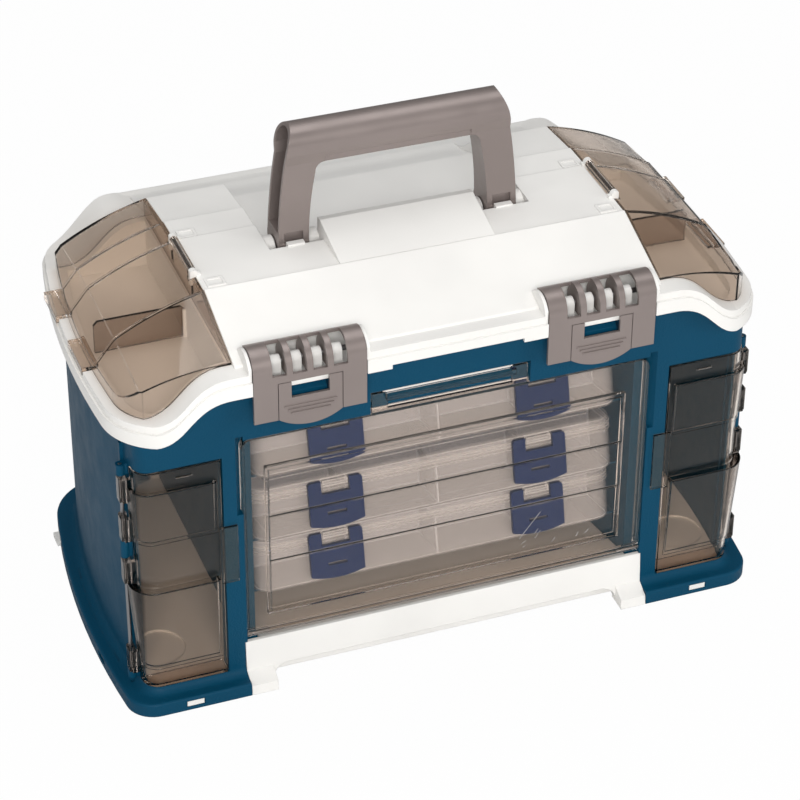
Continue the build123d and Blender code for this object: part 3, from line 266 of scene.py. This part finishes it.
BLUE = plastic("blue_body_plastic", (0.0012, 0.057, 0.115), 0.5, grain=0.35, grain_scale=700.0, gloss=0.13)
WHITE = plastic("white_plastic", (0.88, 0.87, 0.845), 0.42, grain_scale=1500.0, wear=0.1, gloss=0.35)
TAUPE = plastic("taupe_plastic", (0.28, 0.236, 0.223), 0.40, grain_scale=1800.0, metal=0.5, coat=0.08)
NAVY = plastic("navy_plastic", (0.003, 0.022, 0.115), 0.36, grain_scale=1800.0, gloss=0.25, wear=0.15)
STEEL = plastic("steel_pin", (0.30, 0.30, 0.31), 0.35, grain_scale=2500.0, metal=1.0, wear=0.1)
SMOKE = clear("smoke_plastic", (0.81, 0.745, 0.69))
SMOKE_DOOR = clear("smoke_door_plastic", (0.95, 0.885, 0.83))
SMOKE_CORNER = clear("smoke_corner_plastic", (0.85, 0.775, 0.71), edge_from=0.2345)
SMOKE_DARK = clear("smoke_plastic_dark", (0.64, 0.57, 0.52))
SCUFF = plastic("scuffed_plastic", (0.62, 0.60, 0.60), 0.6, grain_scale=2500.0)
FROST = clear("frosted_plastic", (0.955, 0.965, 0.99), haze=0.22, haze_color=(0.92, 0.955, 1.0))

NODE_MATERIALS = {
    "base": WHITE,
    "lid": WHITE,
    "body_shell": BLUE,
    "handle": TAUPE,
    "latch_left": TAUPE,
    "latch_right": TAUPE,
    "latch_paddle_left": TAUPE,
    "latch_paddle_right": TAUPE,
    "lid_cover_left": SMOKE,
    "lid_cover_right": SMOKE,
    "pocket_divider_left": SMOKE_DARK,
    "pocket_divider_right": SMOKE_DARK,
    "front_door": SMOKE_DOOR,
    "corner_door_left": SMOKE_CORNER,
    "corner_door_right": SMOKE_CORNER,
}


def material_for(name):
    """The finish of a CAD node."""
    if name in NODE_MATERIALS:
        return NODE_MATERIALS[name]
    if name.startswith("box_"):
        return NAVY if name.endswith("latches") else FROST
    return STEEL


for name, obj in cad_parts.items():
    mat = material_for(name)
    if not obj.material_slots:
        obj.data.materials.append(mat)
    for slot in obj.material_slots:
        slot.material = mat

# ---------------------------------------------------------------- stage, light and camera
def white_floor():
    """A pale floor that keeps the shadow and shows white to the lens."""
    mesh = bpy.data.meshes.new("floor")
    bm = bmesh.new()
    bmesh.ops.create_grid(bm, x_segments=2, y_segments=2, size=6.0)
    bm.to_mesh(mesh)
    bm.free()
    obj = bpy.data.objects.new("floor", mesh)
    bpy.context.scene.collection.objects.link(obj)
    obj.location = (0.0, 0.0, -0.0002)
    mat, nt, out = tree("floor_paper")
    plain = node(nt, "ShaderNodeBsdfDiffuse")
    plain.inputs["Color"].default_value = (0.82, 0.82, 0.82, 1.0)
    glow = node(nt, "ShaderNodeEmission")
    glow.inputs["Strength"].default_value = 1.0
    shown = node(nt, "ShaderNodeMixShader")
    shown.inputs[0].default_value = 0.975
    nt.links.new(plain.outputs["BSDF"], shown.inputs[1])
    nt.links.new(glow.outputs["Emission"], shown.inputs[2])
    path = node(nt, "ShaderNodeLightPath")
    seen = node(nt, "ShaderNodeMath", operation="MAXIMUM")
    nt.links.new(path.outputs["Is Camera Ray"], seen.inputs[0])
    nt.links.new(path.outputs["Is Transmission Ray"], seen.inputs[1])
    pick = node(nt, "ShaderNodeMixShader")
    nt.links.new(seen.outputs["Value"], pick.inputs[0])
    nt.links.new(plain.outputs["BSDF"], pick.inputs[1])
    nt.links.new(shown.outputs["Shader"], pick.inputs[2])
    nt.links.new(pick.outputs["Shader"], out.inputs["Surface"])
    mesh.materials.append(mat)


def area_light(name, place, aim, size, power, color=(1.0, 1.0, 1.0)):
    """A square soft light aimed at a point."""
    data = bpy.data.lights.new(name, "AREA")
    data.shape = "RECTANGLE"
    data.size = size[0]
    data.size_y = size[1]
    data.energy = power
    data.color = color
    obj = bpy.data.objects.new(name, data)
    bpy.context.scene.collection.objects.link(obj)
    way = Vector(aim) - Vector(place)
    obj.rotation_euler = way.to_track_quat("-Z", "Y").to_euler()
    obj.location = place


def studio_world():
    """A pale surround: white to the lens, dimmer in reflections than as light."""
    world = bpy.data.worlds.new("studio")
    bpy.context.scene.world = world
    world.use_nodes = True
    nt = world.node_tree
    nt.nodes.clear()
    out = nt.nodes.new("ShaderNodeOutputWorld")
    back = node(nt, "ShaderNodeBackground")
    path = node(nt, "ShaderNodeLightPath")
    dim = node(nt, "ShaderNodeMix")
    dim.inputs[2].default_value = 0.34
    dim.inputs[3].default_value = 0.2
    nt.links.new(path.outputs["Is Glossy Ray"], dim.inputs[0])
    level = node(nt, "ShaderNodeMix")
    level.inputs[3].default_value = 1.0
    nt.links.new(path.outputs["Is Camera Ray"], level.inputs[0])
    nt.links.new(dim.outputs[0], level.inputs[2])
    nt.links.new(level.outputs[0], back.inputs["Strength"])
    nt.links.new(back.outputs["Background"], out.inputs["Surface"])


white_floor()
area_light("key_light", (-0.7, -2.4, 1.5), (0.0, 0.0, 0.2), (1.5, 1.1), 44.0, (1.0, 0.985, 0.965))
area_light("top_light", (0.2, 0.2, 2.4), (0.0, 0.0, 0.2), (2.0, 1.4), 19.0)
area_light("right_light", (1.9, -1.7, 0.9), (0.0, 0.0, 0.15), (0.8, 1.2), 14.0)
area_light("left_light", (-2.3, -0.6, 1.1), (0.0, 0.0, 0.15), (0.7, 1.0), 6.0)
studio_world()

CAM_PLACE = (-0.6314, -1.7232, 1.4046)
CAM_YAW = math.radians(20.407)
CAM_PITCH = math.radians(34.672)
CAM_ROLL = math.radians(-0.374)
CAM_LENS = 130.04


def camera():
    """The camera at the photograph's place, angle and framing."""
    data = bpy.data.cameras.new("camera")
    data.lens = CAM_LENS
    data.sensor_width = 36.0
    data.sensor_fit = "HORIZONTAL"
    data.clip_end = 50.0
    obj = bpy.data.objects.new("camera", data)
    bpy.context.scene.collection.objects.link(obj)
    level = math.cos(CAM_PITCH)
    fwd = Vector((math.sin(CAM_YAW) * level, math.cos(CAM_YAW) * level, -math.sin(CAM_PITCH)))
    right = Vector((math.cos(CAM_YAW), -math.sin(CAM_YAW), 0.0))
    down = fwd.cross(right)
    r = right * math.cos(CAM_ROLL) + down * math.sin(CAM_ROLL)
    d = -right * math.sin(CAM_ROLL) + down * math.cos(CAM_ROLL)
    rot = Matrix((r, -d, -fwd)).transposed()
    obj.matrix_world = Matrix.Translation(Vector(CAM_PLACE)) @ rot.to_4x4()
    bpy.context.scene.camera = obj


camera()
bpy.context.scene.view_settings.view_transform = "Standard"


# ---------------------------------------------------------------- fine parts
def mesh_piece(name, bm, mat, body, smooth=False):
    """Links a finished mesh and lets it ride with a body."""
    mesh = bpy.data.meshes.new(name)
    bm.to_mesh(mesh)
    bm.free()
    obj = bpy.data.objects.new(name, mesh)
    bpy.context.scene.collection.objects.link(obj)
    mesh.materials.append(mat)
    for poly in mesh.polygons:
        poly.use_smooth = smooth
    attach(obj, body)
    return obj


def bar(bm, start, end, width, height, up, taper=0.15):
    """A small ridge between two points, in millimetres, standing on a surface along up."""
    a = Vector(start) * MM
    b = Vector(end) * MM
    up = Vector(up).normalized()
    along = (b - a).normalized()
    side = along.cross(up).normalized() * (width * 0.5 * MM)
    rise = up * (height * MM)
    ends = along * (width * 0.5 * MM)
    foot = [a - ends - side, b + ends - side, b + ends + side, a - ends + side]
    crown = [
        a - ends * (1 - taper) - side * (1 - taper) + rise,
        b + ends * (1 - taper) - side * (1 - taper) + rise,
        b + ends * (1 - taper) + side * (1 - taper) + rise,
        a - ends * (1 - taper) + side * (1 - taper) + rise,
    ]
    low = [bm.verts.new(v) for v in foot]
    top = [bm.verts.new(v) for v in crown]
    bm.faces.new(reversed(low))
    bm.faces.new(top)
    for i in range(4):
        j = (i + 1) % 4
        bm.faces.new((low[i], low[j], top[j], top[i]))


# the lid, with its roof falling away behind the last ridge
LAST_RIDGE_Y = 86.4
FALL = ((LAST_RIDGE_Y, 1.0), (115.0, 0.46), (128.5, 0.363), (145.6, 0.208))
FALL_CUTS = (LAST_RIDGE_Y, 93.0, 100.0, 107.5, 115.0, 121.5, 128.5, 137.0)


def parting(x):
    """Height of the lid's lower edge at one x, in millimetres."""
    t = min(1.0, max(0.0, (abs(x) - 168.0) / 54.0))
    return 268.0 - 31.0 * t * t * (3.0 - 2.0 * t)


def kept(x, y):
    """Share of the lid's height above its lower edge that is left at one place."""
    share = FALL[-1][1]
    for (y0, k0), (y1, k1) in zip(FALL[:-1], FALL[1:]):
        if y <= y1:
            share = k0 + (k1 - k0) * max(0.0, y - y0) / (y1 - y0)
            break
    end = 0.5 * min(1.0, max(0.0, (abs(x) - 160.0) / 25.0))
    return share + (1.0 - share) * end


def falling_lid():
    """The lid's shape, lowered towards the hinge."""
    bm = bmesh.new()
    bm.from_mesh(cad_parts["lid"].data)
    for y in FALL_CUTS:
        whole = bm.verts[:] + bm.edges[:] + bm.faces[:]
        place = (0.0, y * MM, 0.0)
        bmesh.ops.bisect_plane(bm, geom=whole, plane_co=place, plane_no=(0.0, 1.0, 0.0), dist=1e-6)
    for v in bm.verts:
        foot = parting(v.co.x / MM) * MM
        if v.co.y > LAST_RIDGE_Y * MM and v.co.z > foot:
            v.co.z = foot + (v.co.z - foot) * kept(v.co.x / MM, v.co.y / MM)
    piece = mesh_piece("lid_with_falling_back", bm, WHITE, "lid", smooth=True)
    piece.data.set_sharp_from_angle(angle=math.radians(28.0))
    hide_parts("lid")


falling_lid()

# scuffs on the lower panel of the front door
bm = bmesh.new()
for x0, z0, x1, z1 in (
    (75.1, 98.6, 59.1, 76.8),
    (74.1, 82.8, 70.7, 77.7),
    (76.1, 80.5, 72.0, 74.4),
    (88.5, 70.5, 85.9, 66.7),
    (64.1, 73.4, 61.0, 71.1),
    (64.2, 69.2, 62.5, 67.6),
    (107.7, 70.8, 106.2, 67.2),
    (116.0, 71.2, 113.4, 68.5),
):
    ends = [(x, DOOR_PANEL_Y - (z - DOOR_PANEL_FOOT) * DOOR_PANEL_LEAN, z) for x, z in ((x0, z0), (x1, z1))]
    bar(bm, ends[0], ends[1], 0.5, 0.12, FORWARD, 0.4)
mesh_piece("front_door_scuffs", bm, SCUFF, "front_door")

# short raised dash on the top band of each corner door
for side, tag in ((-1.0, "left"), (1.0, "right")):
    bm = bmesh.new()
    start = (side * 196.0, CORNER_FACE_Y, 203.0)
    end = (side * 207.0, CORNER_FACE_Y, 203.0)
    bar(bm, start, end, 1.6, 0.8, FORWARD, 0.4)
    mesh_piece("corner_door_dash_" + tag, bm, SMOKE_CORNER, "corner_door_" + tag)

# rounded cheeks of the lid on both sides of each foot of the handle
CHEEK_R = 10.5
CHEEK_Z = 296.5
CHEEK_FOOT = 287.0


def cheek(bm, x0, x1):
    """A round-topped block between two values of x, in millimetres."""
    rim = [(HANDLE_PIVOT_Y + CHEEK_R, CHEEK_FOOT)]
    for degrees in range(0, 181, 12):
        turn = math.radians(degrees)
        rim.append((HANDLE_PIVOT_Y + CHEEK_R * math.cos(turn), CHEEK_Z + CHEEK_R * math.sin(turn)))
    rim.append((-25.0, CHEEK_FOOT))
    near = [bm.verts.new((x0 * MM, y * MM, z * MM)) for y, z in rim]
    far = [bm.verts.new((x1 * MM, y * MM, z * MM)) for y, z in rim]
    bm.faces.new(near)
    bm.faces.new(reversed(far))
    for i in range(len(rim)):
        j = (i + 1) % len(rim)
        bm.faces.new((near[i], far[i], far[j], near[j]))
    bmesh.ops.recalc_face_normals(bm, faces=bm.faces)


for side, tag in ((-1.0, "left"), (1.0, "right")):
    bm = bmesh.new()
    cheek(bm, side * 59.5, side * 68.6)
    cheek(bm, side * 93.4, side * 101.2)
    mesh_piece("handle_cheeks_" + tag, bm, WHITE, "lid")
